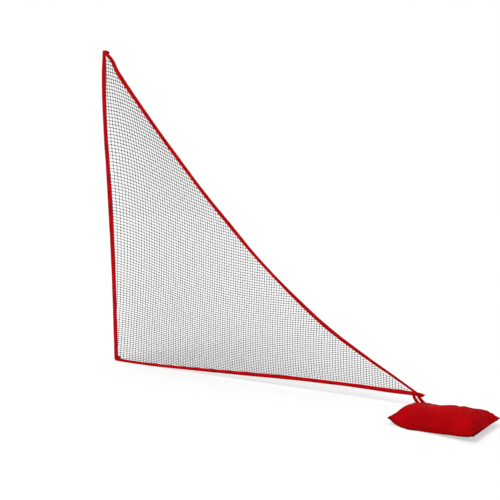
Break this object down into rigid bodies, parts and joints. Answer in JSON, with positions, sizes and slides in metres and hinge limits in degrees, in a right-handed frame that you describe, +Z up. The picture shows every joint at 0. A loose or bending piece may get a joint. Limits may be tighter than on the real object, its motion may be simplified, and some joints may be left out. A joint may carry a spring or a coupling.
{
  "type": "practice net side wing with sandbag anchor",
  "caption": "Triangular side wing of square-mesh netting for a ball practice net, edged with webbing, hung from two tube loops and tied at its outer corner to a zipped sandbag.",
  "frame": {"origin": "centre of the top loop's bore, on the upright line that the wing swings about, 2.134 m above the ground", "axes": "+X from the pole along the wing to its outer corner, -Y to the side that the sandbag lies on, +Z up"},
  "size_m": [2.6061, 0.4199, 2.1523],
  "materials": {
    "red_webbing": "matte",
    "black_netting": "matte",
    "red_bag_fabric": "matte",
    "sand": "matte",
    "black_zip_tape": "matte",
    "black_zip_plastic": "satin",
    "black_zip_metal": "satin"
  },
  "bodies": {
    "frame_loops": {"top_pole_loop": "red_webbing", "base_tube_loop": "red_webbing"},
    "wing": {"net_panel": "black_netting", "inner_edge_tape": "red_webbing", "bottom_edge_tape": "red_webbing", "free_edge_tape": "red_webbing", "corner_loop": "red_webbing"},
    "strap": {"bag_strap": "red_bag_fabric"},
    "bag": {"sand_fill": "sand", "bag_top_panel": "red_bag_fabric", "bag_bottom_panel": "red_bag_fabric", "bag_seam_welt": "red_bag_fabric", "zip_tape_upper": "black_zip_tape", "zip_tape_lower": "black_zip_tape", "zip_teeth": "black_zip_plastic", "zip_stops": "black_zip_plastic"},
    "slider": {"zip_slider": "black_zip_metal"},
    "pull": {"zip_pull": "black_zip_metal"}
  },
  "joints": [
    {"name": "wing_swing", "type": "hinge", "parent": "frame_loops", "child": "wing", "pos_m": [0, 0, 0], "axis": [0, 0, 1], "range_deg": [-75, 75]},
    {"name": "strap_swing", "type": "hinge", "parent": "wing", "child": "strap", "pos_m": [2.134, -0.0331, -2.058], "axis": [1, 0, 0], "range_deg": [-45, 0]},
    {"name": "bag_lift", "type": "hinge", "parent": "strap", "child": "bag", "pos_m": [2.16794, -0.04011, -2.09807], "axis": [0.9836, -0.1382, 0.1159], "range_deg": [-40, 0]},
    {"name": "zip_slide", "type": "slide", "parent": "bag", "child": "slider", "axis": [0.9903, -0.1392, 0], "range_m": [-0.283, 0]},
    {"name": "pull_flip", "type": "hinge", "parent": "slider", "child": "pull", "pos_m": [2.51845, -0.08644, -2.105], "axis": [0, 0, 1], "range_deg": [-170, 0]}
  ]
}
